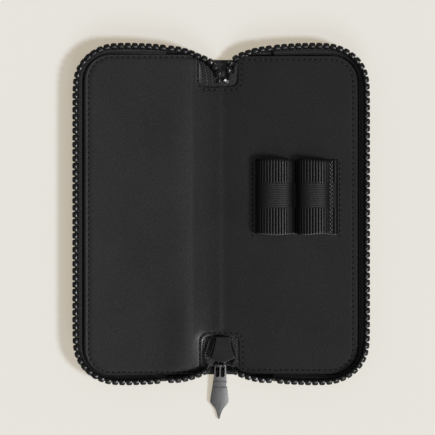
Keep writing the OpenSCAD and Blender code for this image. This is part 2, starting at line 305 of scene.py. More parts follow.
def canvas_finish(name, dark, light):
    """Plain weave: threads over and under each other along X and Y."""
    material, place = new_finish(name, Specular_IOR_Level=0.35)
    weave = ridges(part_of(place, "X"), 1.1 * MM) * ridges(part_of(place, "Y"), 1.1 * MM)
    fuzz = noise(place, 1200.0, 3.0)
    return dress(material, between(weave * 0.8 + fuzz * 0.2, dark, light), 0.8 - weave * 0.2,
                 weave + fuzz * 0.3, 0.2 * MM)


def thread_finish(name, dark, light):
    """Twisted sewing thread."""
    material, place = new_finish(name, Specular_IOR_Level=0.4)
    twist = ridges(part_of(place, "X") + part_of(place, "Y"), 0.28 * MM)
    fuzz = noise(place, 2500.0)
    return dress(material, between(twist * 0.6 + fuzz * 0.4, dark, light), 0.75 - twist * 0.2,
                 twist + fuzz * 0.3, 0.05 * MM)


NAPPA = leather_finish("black_nappa", 0.003, 0.005, 0.4, 1500.0, 0.03 * MM)
CALF = leather_finish("black_grained_calf", 0.009, 0.016, 0.48, 900.0, 0.14 * MM)
TAPE = tape_finish("black_zip_tape", 0.001, 0.026)
# The last value is the grey of the painted highlight on the band's lower rim.
ELASTIC = elastic_finish("black_elastic", 0.0006, 0.006, 0.06)
TOOTH = moulded_finish("black_moulded_teeth", 0.003, 0.006, 0.32)
ENAMEL = moulded_finish("black_satin_enamel", 0.004, 0.007, 0.36)
GUNMETAL = metal_finish("dark_brushed_plating", 0.16, 0.23, 0.42, 0.05)
STEEL = metal_finish("bright_pressed_steel", 0.45, 0.6, 0.34, 1.0)
BOARD = fibre_finish("black_pressed_board", 0.006, 0.014, 1400.0)
FOAM = fibre_finish("padding_foam", 0.03, 0.06, 2200.0)
THREAD = thread_finish("black_thread", 0.012, 0.03)
# Light grey thread for the zigzag seam: its sheen is painted into the colour.
SHEEN_PAINTED_THREAD = thread_finish("shiny_thread", 0.06, 0.17)
CANVAS = canvas_finish("black_canvas", 0.002, 0.014)
# Near-black for the inside of needle holes and slots: painted shade.
HOLE_SHADE = fibre_finish("needle_hole", 0.0005, 0.0015, 1800.0)


# ---- modelling helpers

def finish_piece(obj, material, slot, body=None, *nodes):
    """Gives a finished piece its material, its body and the nodes it stands for; the record slot is not
    used.
    """
    obj.data.materials.clear()
    obj.data.materials.append(material)
    if body:
        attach(obj, body)
    if nodes:
        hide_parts(*nodes)


def linked(name, mesh):
    """A new object in the scene with this mesh."""
    obj = bpy.data.objects.new(name, mesh)
    bpy.context.scene.collection.objects.link(obj)
    return obj


def mesh_piece(name, points, faces, uv=None):
    """A piece from points in millimetres and faces, with an optional map of (u, v) per point."""
    mesh = bpy.data.meshes.new(name)
    mesh.from_pydata([tuple(c * MM for c in p) for p in points], [], faces)
    if uv is not None:
        layer = mesh.uv_layers.new(name="along_and_across")
        for loop in mesh.loops:
            layer.data[loop.index].uv = uv[loop.vertex_index]
    mesh.update()
    return linked(name, mesh)


def only(obj):
    """Selects this object alone."""
    ops.object.select_all(action="DESELECT")
    obj.select_set(True)
    bpy.context.view_layer.objects.active = obj


def smooth(obj, angle):
    """Smooth shading, but for edges sharper than the angle in degrees."""
    only(obj)
    ops.object.shade_smooth_by_angle(angle=radians(angle))


@contextmanager
def editing(obj):
    """Edit mode, entered with everything selected."""
    only(obj)
    ops.object.mode_set(mode="EDIT")
    ops.mesh.select_all(action="SELECT")
    yield
    ops.object.mode_set(mode="OBJECT")


def add(kind, name, **how):
    """Adds a primitive with nothing else selected, and applies its place."""
    ops.object.select_all(action="DESELECT")
    getattr(ops.mesh, f"primitive_{kind}_add")(**how)
    obj = bpy.context.object
    obj.name = name
    obj.data.name = name
    ops.object.transform_apply(location=True, rotation=True, scale=True)
    return obj


def recalculate(obj):
    """Turns every face of a closed piece outwards."""
    with editing(obj):
        ops.mesh.normals_make_consistent(inside=False)


def pick(obj, kind, test):
    """In edit mode, selects the vertices, edges or faces that pass the test."""
    mesh = bmesh.from_edit_mesh(obj.data)
    mesh.normal_update()
    ops.mesh.select_all(action="DESELECT")
    ops.mesh.select_mode(type=kind)
    chosen = {"VERT": mesh.verts, "EDGE": mesh.edges, "FACE": mesh.faces}[kind]
    for element in chosen:
        element.select = bool(test(element))
    mesh.select_flush_mode()
    bmesh.update_edit_mesh(obj.data)


def apply_modifier(obj, kind, **settings):
    only(obj)
    modifier = obj.modifiers.new(kind.lower(), kind)
    for name, value in settings.items():
        setattr(modifier, name, value)
    ops.object.modifier_apply(modifier=modifier.name)


def strip_faces(rings, around):
    """Faces of a closed strip: quads from ring to ring, and a cap on each end."""
    faces = []
    for i in range(rings - 1):
        for k in range(around):
            a, b = i * around + k, i * around + (k + 1) % around
            faces.append((a, b, b + around, a + around))
    faces.append(tuple(range(around - 1, -1, -1)))
    faces.append(tuple((rings - 1) * around + k for k in range(around)))
    return faces


def catmull(points, steps):
    """A smooth curve through the points."""
    p = np.array(points, float)
    last = len(p) - 1
    curve = []
    for i in range(last):
        a, b, c, d = p[max(i - 1, 0)], p[i], p[i + 1], p[min(i + 2, last)]
        for t in np.linspace(0, 1, steps, endpoint=False):
            curve.append(0.5 * (2 * b + (c - a) * t + (2 * a - 5 * b + 4 * c - d) * t ** 2
                                + (3 * b - a - 3 * c + d) * t ** 3))
    curve.append(p[last])
    return np.array(curve)


def lengths(curve):
    return np.concatenate([[0], np.cumsum(np.linalg.norm(np.diff(curve, axis=0), axis=1))])


def along(curve, run, s):
    return np.array([np.interp(s, run, curve[:, k]) for k in range(curve.shape[1])]).T


def unit(v):
    return v / max(np.linalg.norm(v), 1e-12)


# ---- outlines of the leather

ARC_STEP = 11.25  # degrees between the points of an arc
BEYOND = 9.0  # how far an outline runs past the middle before it is cut there


def rounded(corners):
    """Points round a closed outline of (x, y, radius) corners, with arcs at the corners."""
    out = []
    count = len(corners)
    for i, (x, y, r) in enumerate(corners):
        here = np.array((x, y), float)
        before = unit(np.array(corners[i - 1][:2]) - here)
        after = unit(np.array(corners[(i + 1) % count][:2]) - here)
        if r <= 0:
            out.append(here)
            continue
        turn = acos(np.clip(before @ after, -1, 1))
        reach = r / tan(turn / 2)
        centre = here + unit(before + after) * (r / sin(turn / 2))
        first = here + before * reach - centre
        last = here + after * reach - centre
        sweep = atan2(first[0] * last[1] - first[1] * last[0], first @ last)
        steps = max(2, round(degrees(abs(sweep)) / ARC_STEP))
        for k in range(steps + 1):
            a = sweep * k / steps
            out.append(centre + np.array((first[0] * cos(a) - first[1] * sin(a),
                                          first[0] * sin(a) + first[1] * cos(a))))
    return np.array(out)


def inset_corners(corners, inset):
    """The corners moved in by inset. Counter-clockwise corners; hollow ones get a larger radius."""
    count = len(corners)
    moved = []
    for i, (x, y, r) in enumerate(corners):
        here = np.array((x, y), float)
        before = unit(here - np.array(corners[i - 1][:2]))
        after = unit(np.array(corners[(i + 1) % count][:2]) - here)
        turn = before[0] * after[1] - before[1] * after[0]
        inward = np.array((-before[1], before[0])) + np.array((-after[1], after[0]))
        scale = inset / (1 + before @ after)
        moved.append((*(here + inward * scale), max(r - inset * np.sign(turn), 0.05)))
    return moved


def edges_of(side):
    """One half's outer edge, upper and lower edge, and how far its notches reach from the middle."""
    if side > 0:
        return HALF_W, HALF_H - 1.2, -HALF_H + 0.4, 9.0, 9.4
    return HALF_W - 0.7, HALF_H, -HALF_H - 0.7, 9.4, 8.3


def lining_corners(side):
    """One half of the lining, drawn on the right, counter-clockwise, with its share of the notches."""
    top, bottom = NOTCH_HIGH.y, NOTCH_LOW.y
    outer, high, low, upper, lower = edges_of(side)
    return [(-BEYOND, bottom, 0), (lower, bottom, 3.2), (lower, low, 1.8), (outer, low, CORNER_R),
            (outer, high, CORNER_R), (upper, high, 2.2), (upper, top, 3.2), (-BEYOND, top, 0)]


def seam_corners(side):
    """The seam round one half: nearer to the edge at the notches than along the sides."""
    top, bottom = NOTCH_HIGH.y - 1.4, NOTCH_LOW.y + 1.4
    outer, high, low, upper, lower = edges_of(side)
    w, high, low, lower, upper = outer - 2.2, high - 1.7, low + 1.8, lower + 1.6, upper + 1.4
    return [(-BEYOND, bottom, 0), (lower, bottom, 4), (lower, low, 0.8), (w, low, CORNER_R - 2),
            (w, high, CORNER_R - 2), (upper, high, 0.8), (upper, top, 4), (-BEYOND, top, 0)]


def cover_corners():
    """Right half of the outer leather, counter-clockwise."""
    w, h = COVER_HIGH.x, COVER_HIGH.y
    return [(-BEYOND, SPINE_LOW.y, 0), (12, SPINE_LOW.y, 1), (13.5, -h, 3), (w, -h, CORNER_R + 1),
            (w, h, CORNER_R + 1), (15.5, h, 5), (11, SPINE_HIGH.y, 4), (-BEYOND, SPINE_HIGH.y, 0)]


def distance_in(points, outline):
    """How far each point lies from the outline's edge."""
    a = outline
    b = np.roll(outline, -1, axis=0)
    ab = b - a
    size = np.maximum((ab ** 2).sum(1), 1e-12)
    best = np.full(len(points), 1e9)
    for start, step, length in zip(a, ab, size):
        t = np.clip(((points - start) @ step) / length, 0, 1)
        gap = points - start - t[:, None] * step
        best = np.minimum(best, np.hypot(gap[:, 0], gap[:, 1]))
    return best


def slice_at(mesh, point, normal, **how):
    """Cuts every face that the plane meets."""
    everything = mesh.verts[:] + mesh.edges[:] + mesh.faces[:]
    bmesh.ops.bisect_plane(mesh, geom=everything, plane_co=point, plane_no=normal, **how)


def leather_sheet(name, side, corners, rings, height, thickness, holes=()):
    """One half's leather: rings that follow the edge, a grid inside, cut at the middle.
    height gives the upper face's height at points; each hole is (x0, x1, y0, y1)."""
    mesh = bmesh.new()
    loops = []
    for inset in rings:
        outline = rounded(inset_corners(corners, inset))
        loops.append([mesh.verts.new((x, y, 0)) for x, y in outline])
    for outer, inner in zip(loops, loops[1:]):
        for k in range(len(outer)):
            n = (k + 1) % len(outer)
            mesh.faces.new((outer[k], outer[n], inner[n], inner[k]))
    mesh.faces.new(loops[-1])
    width = max(c[0] for c in corners)
    tall = max(c[1] for c in corners)
    bend_start, bend_end = FOLD_X - FOLD_SPAN, FOLD_X + FOLD_SPAN
    across = list(np.arange(1.5, bend_start, 1.5)) + list(np.arange(bend_start, bend_end + 0.01, 0.75))
    across += list(np.arange(bend_end + 1.5, width - 3, 3.0))
    lengthwise = list(np.arange(-tall + 4, tall - 3, 4.0))
    for x0, x1, y0, y1 in holes:
        across += [x0, x1]
        lengthwise += [y0, y1]
    for x in across:
        slice_at(mesh, (x, 0, 0), (1, 0, 0))
    for y in lengthwise:
        slice_at(mesh, (0, y, 0), (0, 1, 0))
    slice_at(mesh, (0, 0, 0), (1, 0, 0), clear_inner=True)
    for x0, x1, y0, y1 in holes:
        inside = [f for f in mesh.faces if x0 < f.calc_center_median().x < x1
                  and y0 < f.calc_center_median().y < y1]
        bmesh.ops.delete(mesh, geom=inside, context="FACES")
    bmesh.ops.remove_doubles(mesh, verts=mesh.verts[:], dist=0.02)
    flat = np.array([v.co[:2] for v in mesh.verts])
    for vert, z in zip(mesh.verts, height(flat[:, 0], flat[:, 1])):
        vert.co = Vector((vert.co.x * side, vert.co.y, z)) * MM
    if side < 0:
        bmesh.ops.reverse_faces(mesh, faces=mesh.faces[:])
    data = bpy.data.meshes.new(name)
    mesh.to_mesh(data)
    mesh.free()
    obj = linked(name, data)
    apply_modifier(obj, "SOLIDIFY", thickness=thickness * MM, offset=-1, use_rim=True)
    smooth(obj, 50)
    return obj


def bell(x, middle, width):
    return np.exp(-(((x - middle) / width) ** 2))


def step(x, start, end):
    t = np.clip((x - start) / (end - start), 0, 1)
    return t * t * (3 - 2 * t)


def lining_height(side):
    """Height of the lining: a sewn edge with a sunk seam, and panels that fall towards the spine."""
    edge_line = rounded(lining_corners(side))
    seam_line = rounded(seam_corners(side))

    def height(x, y):
        points = np.stack([x, y], axis=1)
        depth = distance_in(points, edge_line)
        seam = distance_in(points, seam_line)
        rolled, sunk = (0.03, 0.04) if side > 0 else (0.3, 0.1)
        sewn = -rolled * np.exp(-(depth / 0.4) ** 2) - sunk * np.exp(-(seam / 0.7) ** 2)
        if side < 0:
            fall = 1.9 * np.clip((x - 13) / (HALF_W - 13), 0, 1) ** 0.85 - 0.25
            lifted_rim = 0.55 * np.clip((x - 32) / 33, 0, 1.05) ** 2
            sunk_fold = 0.35 * (1 - step(x, 5, 23))
            fall += lifted_rim - sunk_fold
        else:
            fall = 2.5 * np.clip((x - 2) / (HALF_W - 2), 0, 1) ** 0.75 - 0.6
        low_end = bell(y, -58, 20)
        ridge = (0.07 + 0.1 * low_end) * bell(x * side, -0.4, 2.0)
        billow = (0.04 + 0.45 * low_end) * bell(x * side, -16, 8)
        return LINING_TOP + sewn + fall + (ridge + billow) * step(depth, 1, 5)
    return height


def height_at(surface, x, y):
    """The surface's height at one point."""
    return float(surface(np.array([x]), np.array([y]))[0])


def flat_area(corners):
    """Area of one half's outline from the middle outwards, in square metres."""
    x, y = rounded(corners).T
    whole = 0.5 * abs(np.dot(x, np.roll(y, -1)) - np.dot(y, np.roll(x, -1)))
    return float(whole - BEYOND * (corners[-1][1] - corners[0][1])) * MM ** 2


def declare_half(corners):
    """Works out one half's width, length and flat area from its outline, and keeps none of them."""
    width = max(c[0] for c in corners) * MM
    length = (max(c[1] for c in corners) - min(c[1] for c in corners)) * MM
    flat_area(corners)


def add_lining():
    rings = (0, 0.12, 0.35, 0.7, 1.0, 1.3, 1.6, 1.9, 2.2, 2.5, 3.0, 4.0, 5.5)
    for side, word in SIDES:
        holes = []
        if side > 0:
            y0, y1 = LOOPS_LOW.y - 0.3, LOOPS_HIGH.y + 0.3
            holes = [(LOOPS_LOW.x - 0.15, LOOPS_LOW.x + 1.3, y0, y1),
                     (LOOPS_HIGH.x - 0.9, LOOPS_HIGH.x + 0.35, y0, y1)]
        piece = leather_sheet(f"lining_leather_{word}", side, lining_corners(side), rings,
                              lining_height(side), LINING_T - 0.1, holes)
        finish_piece(piece, NAPPA, "lining_leather")
        across_fold(piece, side)
        declare_half(lining_corners(side))
    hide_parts("lining_left", "spine_lining")
    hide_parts("lining_right")


def across_fold(piece, side):
    """Bakes the piece's place into its mesh; the piece is not bent round the fold."""
    half = "right_half" if side > 0 else "left_half"
    side * (FOLD_X - FOLD_SPAN) * MM
    side * (FOLD_X + FOLD_SPAN) * MM
    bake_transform(piece)


def cover_height(x, y):
    """Upper face of the outer leather: flat below the board, turned up to the tape at its rim."""
    depth = distance_in(np.stack([x, y], axis=1), rounded(cover_corners()))
    turned_up = 1 - step(depth, 0.2, 3.2)
    rolled = -0.3 * np.exp(-(depth / 0.4) ** 2)
    past_the_fold = step(x, 12, 20)
    return COVER_HIGH.z - 0.05 + turned_up * past_the_fold + rolled * past_the_fold


def add_cover():
    rings = (0, 0.15, 0.4, 0.8, 1.3, 1.9, 2.5, 3.2, 4.5)
    for side, word in SIDES:
        piece = leather_sheet(f"outer_leather_{word}", side, cover_corners(), rings,
                              cover_height, COVER_HIGH.z - 0.05)
        finish_piece(piece, CALF, "outer_leather")
        across_fold(piece, side)
        declare_half(cover_corners())
    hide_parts("cover_left", "spine_cover")
    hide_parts("cover_right")


# ---- stitching

def copies_piece(name, master, places):
    """One piece made of copies of a small mesh, each at its own place (4 by 4, in millimetres)."""
    source = np.array([v.co for v in master.data.vertices], float) / MM
    faces = [tuple(p.vertices) for p in master.data.polygons]
    points, all_faces = [], []
    for place in places:
        first = len(points)
        points.extend((source @ place[:3, :3].T + place[:3, 3]).tolist())
        all_faces.extend(tuple(v + first for v in f) for f in faces)
    obj = mesh_piece(name, points, all_faces)
    obj.data.polygons.foreach_set("use_smooth", [True] * len(all_faces))
    return obj


def bead(name, length, width, height):
    """A small long bead lying along X."""
    obj = add("uv_sphere", name, segments=8, ring_count=6,
              radius=1, rotation=(0, pi / 2, 0))
    obj.data.transform(Matrix.Diagonal((length / 2 * MM, width / 2 * MM, height / 2 * MM, 1)))
    return obj


def places_on(path, height, pitch, offset, lean, sideways=0.0):
    """Places along a path of (x, y) points, each turned to the path with a slight lean."""
    run = lengths(path)
    count = max(1, int(round(run[-1] / pitch)))
    places = []
    for k in range(count):
        s = (k + offset) * run[-1] / count
        p = along(path, run, s)
        d = unit(along(path, run, min(s + 0.5, run[-1])) - along(path, run, max(s - 0.5, 0)))
        p = p + np.array((-d[1], d[0])) * sideways
        a = atan2(d[1], d[0]) + radians(lean)
        place = np.eye(4)
        place[:2, :2] = ((cos(a), -sin(a)), (sin(a), cos(a)))
        place[:3, 3] = (*p, height(p))
        places.append(place)
    return places


def sew(name, paths, height, slot, side=0, pitch=STITCH_PITCH):
    """A seam: needle holes, shown as black beads whose black is painted shade, and the thread that bridges
    them.
    """
    # The holes' black is painted shade.
    holes = ("holes", bead("hole", 0.95, 0.75, 0.24), 0.0, 0, HOLE_SHADE)
    threads = ("thread", bead("thread", 1.75, 0.5, 0.56), 0.5, 9, THREAD)
    for word, master, offset, lean, finish in (holes, threads):
        places = []
        for path in paths:
            places += places_on(path, height, pitch, offset, lean)
        piece = copies_piece(f"{name}_{word}", master, places)
        finish_piece(piece, finish, slot)
        if side:
            across_fold(piece, side)
        else:
            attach(piece, "right_half")
        bpy.data.objects.remove(master)


def add_stitching():
    proud = 0.05
    for side, word in SIDES:
        surface = lining_height(side)
        seam = rounded(seam_corners(side))
        path = np.vstack([[0.0, seam[0, 1]], seam[seam[:, 0] > 0.1], [0.0, seam[-1, 1]]])
        sew(f"edge_seam_{word}", [path * (side, 1)],
            lambda p: height_at(surface, abs(p[0]), p[1]) + proud, "lining_leather", side)
        below = rounded(inset_corners(cover_corners(), 3.3))
        under = below[below[:, 0] > 14]
        sew(f"outer_seam_{word}", [under * (side, 1)], lambda p: 0.32, "outer_leather", side)
    rows = [np.array([(x, LOOPS_LOW.y - 1.4), (x, LOOPS_HIGH.y + 0.6)])
            for x in (LOOPS_LOW.x - 1.5, LOOPS_HIGH.x + 1.4)]
    sew("loop_seam", rows, lambda p: height_at(surface, p[0], p[1]) + proud,
        "lining_leather", pitch=2.55)


# ---- the zip's routes

FIRM_X = 26.0  # from here outwards the zip is firm on its half


def level(points, z):
    return [(x, y, z) for x, y in points]


CHAIN_CORNER = level([
    (FIRM_X, 80.1), (33, 80.7), (40, 81), (47, 81.1), (53, 80.8), (57, 79.9), (61, 78.1), (64.6, 75.5),
    (67.2, 72.5), (69.1, 69), (70.1, 65), (70.5, 60), (70.6, 50), (70.6, 36), (70.6, 18), (70.6, 0)],
    CHAIN_Z)
CORNER_C = (HALF_W - CORNER_R, HALF_H - CORNER_R)
FOOT_CORNER = level(
    [(x, HALF_H) for x in (FIRM_X, 33, 40, 47)]
    + [(CORNER_C[0] + CORNER_R * cos(radians(a)), CORNER_C[1] + CORNER_R * sin(radians(a)))
       for a in range(90, -1, -15)]
    + [(HALF_W, y) for y in (60, 50, 36, 18, 0)], FOOT_Z)
EDGE_TOP_LEFT = [
    (-FIRM_X, 80.1, CHAIN_Z), (-19, 79.2, 8.5), (-13.6, 77.6, 7.6), (-10.6, 76.2, 6.9),
    (-7.6, 74.9, 6.2), (-5, 73.5, 5.5), (-2.8, 71.5, 5), (-0.8, 68.5, 4.7), (0.3, 65.6, 4.4),
    (1, 62.6, 4.2)]
FOOT_TOP_LEFT = level([
    (-FIRM_X, 78.4), (-19, 78.3), (-14, 77.9), (-12, 76.6), (-11, 74.4), (-10.4, 72),
    (-10, 69.6), (-9.6, 67), (-9.3, 64.4), (-9.2, 62)], FOOT_Z)
EDGE_TOP_RIGHT = [
    (FIRM_X, 80.1, CHAIN_Z), (19, 79.2, 8.5), (13.8, 77.9, 7.6), (10.9, 76.9, 6.9),
    (8.5, 75.6, 6.3), (6.3, 73.9, 5.8), (5.1, 72, 5.4), (4.7, 70, 5.1), (4.6, 67.5, 4.9),
    (4, 65, 4.6), (3.6, 62.8, 4.4)]
FOOT_TOP_RIGHT = level([
    (FIRM_X, 78.4), (19, 78.3), (14.4, 77.8), (12.2, 76.7), (10.7, 75.1), (9.6, 73.4),
    (8.9, 71.7), (8.4, 69.8), (7.8, 67.3), (7.2, 64.8), (6.9, 62.4)], FOOT_Z)
EDGE_BOTTOM_LEFT = [
    (-FIRM_X, -80.1, CHAIN_Z), (-20, -80, 8.7), (-14.5, -78.9, 8), (-10, -77.3, 7.2),
    (-7, -75.6, 6.3), (-5.4, -73.6, 5.4), (-6.6, -70.6, 4.6), (-6.9, -68, 4.6),
    (-5.8, -64, 4.4), (-4.6, -60, 3.6)]
FOOT_BOTTOM_LEFT = level([
    (-FIRM_X, -78.4), (-20, -78.3), (-15, -78), (-12.2, -76.8), (-10.9, -74.8), (-10.3, -72.8),
    (-9.9, -70.4), (-9.6, -67.8), (-9.4, -64), (-9.2, -60)], FOOT_Z)


def mirrored(points):
    return [(-x, y, z) for x, y, z in points]


def whole_rim(points):
    return points + [(x, -y, z) for x, y, z in points[-2::-1]]


def rim_routes(side):
    """Chain and foot of one half's firm rim, from its upper end round to its lower end."""
    chain = catmull(whole_rim(CHAIN_CORNER), 5)
    foot = catmull(whole_rim(FOOT_CORNER), 5)
    chain[:, 0] += (0.2 if side > 0 else -0.9) * step(chain[:, 0], 40, 66)
    turn = np.array((side, 1, 1))
    return chain * turn, foot * turn


def gusset_routes(steps):
    """(name, side, edge, foot) of the four loose stretches."""
    routes = [("top_left", -1, EDGE_TOP_LEFT, FOOT_TOP_LEFT),
              ("top_right", 1, EDGE_TOP_RIGHT, FOOT_TOP_RIGHT),
              ("bottom_left", -1, EDGE_BOTTOM_LEFT, FOOT_BOTTOM_LEFT),
              ("bottom_right", 1, mirrored(EDGE_BOTTOM_LEFT), mirrored(FOOT_BOTTOM_LEFT))]
    return [(name, side, catmull(edge, steps), catmull(foot, steps)) for name, side, edge, foot in routes]


# ---- tape

def tape_strip(name, edge, foot, outward, sewn=True):
    """A woven strip from its foot to its beaded edge, with a map in metres along and across."""
    half_thick = 0.275
    tuck = 4.0 if sewn else 0.0  # width that is sewn in under the lining
    run = lengths(foot)
    shares = np.linspace(0, 1, 11)
    swell = [half_thick + 0.42 * exp(-((t - 0.97) / 0.06) ** 2) for t in shares]
    points, uv, widths = [], [], []
    for i, (here, base) in enumerate(zip(edge, foot)):
        ahead = foot[min(i + 1, len(foot) - 1)] - foot[max(i - 1, 0)]
        rise = unit(here - base)
        normal = unit(np.cross(ahead, rise)) * outward
        out = unit(np.array((normal[0], normal[1], 0)) + 1e-9)
        if sewn:
            base = base + out * 0.6
        tip = here - rise * 0.2
        height = np.linalg.norm(tip - base)
        widths.append(height + tuck)
        middle = [base * (1 - t) + tip * t + normal * (sin(pi * t) * 0.25) for t in shares]
        front = [p + normal * h for p, h in zip(middle, swell)]
        back = [p - normal * h for p, h in zip(middle, swell)]
        cap = [tip + rise * 0.35 + normal * 0.3, tip + rise * 0.35 - normal * 0.3]
        ring = front + cap + back[::-1]
        values = [*shares, 1.03, 1.03, *shares[::-1]]
        if sewn:
            ring += [base - out * tuck + (0, 0, z) for z in (0.15, -0.2)]
            values += [-0.6, -0.6]
        points += ring
        uv += [(run[i] * MM, v * height * MM) for v in values]
    obj = mesh_piece(name, points, strip_faces(len(edge), len(ring)), uv)
    recalculate(obj)
    smooth(obj, 60)
    finish_piece(obj, TAPE, "zip_tape")
    if sewn:
        middle_line = (lengths(edge)[-1] + run[-1]) / 2
        "board_right" if outward > 0 else "board_left"
    return obj


def add_tapes():
    for side, word in SIDES:
        piece = tape_strip(f"zip_tape_{word}", *rim_routes(side), side)
        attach(piece, f"{word}_half")
        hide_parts(f"tape_{word}")
    for name, side, edge, foot in gusset_routes(5):
        piece = tape_strip(f"tape_end_{name}", edge, foot, side if "top" in name else -side, sewn=False)
        across_fold(piece, side)
        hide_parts(f"gusset_tape_{name}")


# ---- teeth

def upright(edge, least=MM):
    """Whether the edge stands up by at least so much."""
    a, b = edge.verts
    return abs(a.co.z - b.co.z) > least


def tooth_master():
    """One moulded tooth: a body that is rounded on the outside, and a nub on its inner side."""
    obj = add("cube", "tooth_master", size=1,
              scale=(3.02 * MM, 2.5 * MM, 3.2 * MM), location=(0, 0.2 * MM, -0.45 * MM))
    with editing(obj):
        pick(obj, "EDGE", lambda e: upright(e) and e.verts[0].co.y > MM)
        ops.mesh.bevel(offset=0.9 * MM, segments=3)
        pick(obj, "EDGE", lambda e: upright(e) and e.verts[0].co.y < -0.9 * MM)
        ops.mesh.bevel(offset=0.4 * MM, segments=1)
        pick(obj, "FACE", lambda f: f.normal.z > 0.9)
        ops.mesh.inset(thickness=0.2 * MM, depth=0.18 * MM)
        ops.mesh.inset(thickness=0.3 * MM, depth=0)
        ops.transform.translate(value=(0, -0.25 * MM, 0.05 * MM))
        ops.mesh.extrude_region_move(TRANSFORM_OT_translate={"value": (0, 0, 0.42 * MM)})
        ops.transform.resize(value=(0.6, 0.6, 1), center_override=(0, -0.2 * MM, 0))
    return obj


def tooth_places(edge, foot, first, last, lift, outward):
    """Places of the teeth along an edge; lift is how much they stand up at its start and end."""
    run = lengths(edge)
    places = []
    s = first
    while s <= last:
        p = along(edge, run, s)
        ahead = unit(along(edge, run, s + 0.4) - along(edge, run, s - 0.4))
        stand = lift[0] + (lift[1] - lift[0]) * s / last
        rise = unit(unit(p - along(foot, run, s)) + np.array((0, 0, stand)))
        across = unit(np.cross(rise, ahead))
        up = np.cross(ahead, across)
        place = np.eye(4)
        place[:3, :3] = np.array((ahead * outward, across * outward, up)).T
        place[:3, 3] = p
        places.append(place)
        s += TOOTH_PITCH
    return places


LOOSE_TEETH_END = {"top_left": 31, "top_right": 27, "bottom_left": 21, "bottom_right": 21}


def add_teeth():
    master = tooth_master()
    for side, word in SIDES:
        chain, foot = rim_routes(side)
        last = lengths(chain)[-1] - 1
        places = tooth_places(chain, foot, TOOTH_PITCH * 0.5, last, (1.2, 1.2), side)
        piece = copies_piece(f"zip_teeth_{word}", master, places)
        finish_piece(piece, TOOTH, "zip_teeth", f"{word}_half", f"teeth_{word}")
    for name, side, edge, foot in gusset_routes(6):
        places = tooth_places(edge, foot, TOOTH_PITCH * 0.7, LOOSE_TEETH_END[name], (1.2, 0),
                              -side if "top" in name else side)
        piece = copies_piece(f"loose_teeth_{name}", master, places)
        finish_piece(piece, TOOTH, "zip_teeth")
        across_fold(piece, side)
        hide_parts(f"gusset_teeth_{name}")
    bpy.data.objects.remove(master)


# ---- pen loops

def loop_path():
    """The elastic's middle line, seen along the pens: (x, z) points that rest on the lining."""
    surface = lining_height(1)

    def above(x, gap):
        return x, height_at(surface, x, BAND_MIDDLE) + gap

    def arch(a, b):
        crown_z, squareness, spans = LOOPS_HIGH.z - 0.75, 2 / 2.6, 24
        points = []
        for k in range(1, spans):
            t = radians(180 - 180 * k / spans)
            x, base = above((a + b) / 2 + (b - a) / 2 * copysign(abs(cos(t)) ** squareness, cos(t)), 0.45)
            points.append((x, base + (crown_z - base) * sin(t) ** squareness))
        return points

    x0, x3 = LOOPS_LOW.x + 0.55, LOOPS_HIGH.x - 0.55
    path = [above(x0, -1), above(x0, 0.1)] + arch(x0, 34.7)
    path += [above(34.9, 0.35), above(36.2, 0.25), above(37.4, 0.35)] + arch(37.6, 52.4)
    path += [above(53, 0.5), above(54, 0.45), above(x3 - 1, 0.45), above(x3 - 0.25, 0.2)]
    path += [above(x3, -0.1), above(x3, -1)]
    return catmull([(x, 0, z) for x, z in path], 3)[:, (0, 2)]


def band_lines():
    """Where the band is divided along the pens: finely at its edges and where the ribs stop."""
    near_edge = (0, 0.1, 0.3, 0.7, 1.4)
    return [*[BAND_LOW + v for v in near_edge], *np.linspace(BAND_LOW + 2.2, RIBS_BELOW - 0.5, 7),
            RIBS_BELOW - 0.1, RIBS_BELOW + 0.15, *np.linspace(RIBS_BELOW + 0.6, RIBS_ABOVE - 0.6, 9),
            RIBS_ABOVE - 0.15, RIBS_ABOVE + 0.1, *np.linspace(RIBS_ABOVE + 0.5, BAND_HIGH - 2.2, 6),
            *[BAND_HIGH - v for v in near_edge[::-1]]]


def add_pen_loops():
    """Woven elastic with a ribbed zone at each end and a plain one between, as one closed band."""
    half_thick, rib_height, sway_size = 0.42, 0.24, 0.3
    path = loop_path()
    run = lengths(path)
    stations = np.arange(0, run[-1], RIB_PITCH / 8)
    centre = along(path, run, stations)
    ahead = along(path, run, stations + 0.3) - along(path, run, stations - 0.3)
    ahead /= np.linalg.norm(ahead, axis=1)[:, None]
    normal = np.stack([-ahead[:, 1], ahead[:, 0]], axis=1)
    lines = band_lines()
    wave = 0.5 + 0.5 * np.cos(2 * pi * (stations - run[-1]) / RIB_PITCH)
    rib = step(wave, 0.1, 0.75)
    fade = step(run[-1] - stations, 3.6, 5.4)
    points, uv = [], []
    for i, s in enumerate(stations):
        ring = [(y, 1) for y in lines] + [(y, -1) for y in lines[::-1]]
        for y, face in ring:
            inward = min(y - BAND_LOW, BAND_HIGH - y)
            ribbed = (step(y, RIBS_ABOVE - 0.15, RIBS_ABOVE + 0.1)
                      + step(-y, -RIBS_BELOW - 0.15, -RIBS_BELOW + 0.1))
            firm = 0.3 + 0.7 * step(inward, 0, 0.7)
            raised = rib_height * ribbed * (rib[i] - 0.7) * fade[i] * firm
            rounding = -0.34 * exp(-(inward / 0.3) ** 2)
            out = (half_thick + raised + rounding) if face > 0 else -half_thick - rounding * 0.6
            x, z = centre[i] + normal[i] * out
            sway = sway_size * sin(s * 0.3) * exp(-(inward / 3) ** 2)
            points.append((x, y + sway * (1 if y < BAND_MIDDLE else -1), z))
            uv.append(((s - run[-1]) * MM, y * MM))
    band = mesh_piece("pen_loops", points, strip_faces(len(stations), len(ring)), uv)
    recalculate(band)
    smooth(band, 70)
    finish_piece(band, ELASTIC, "elastic", "right_half", "pen_loop_band")
    add_zigzag()


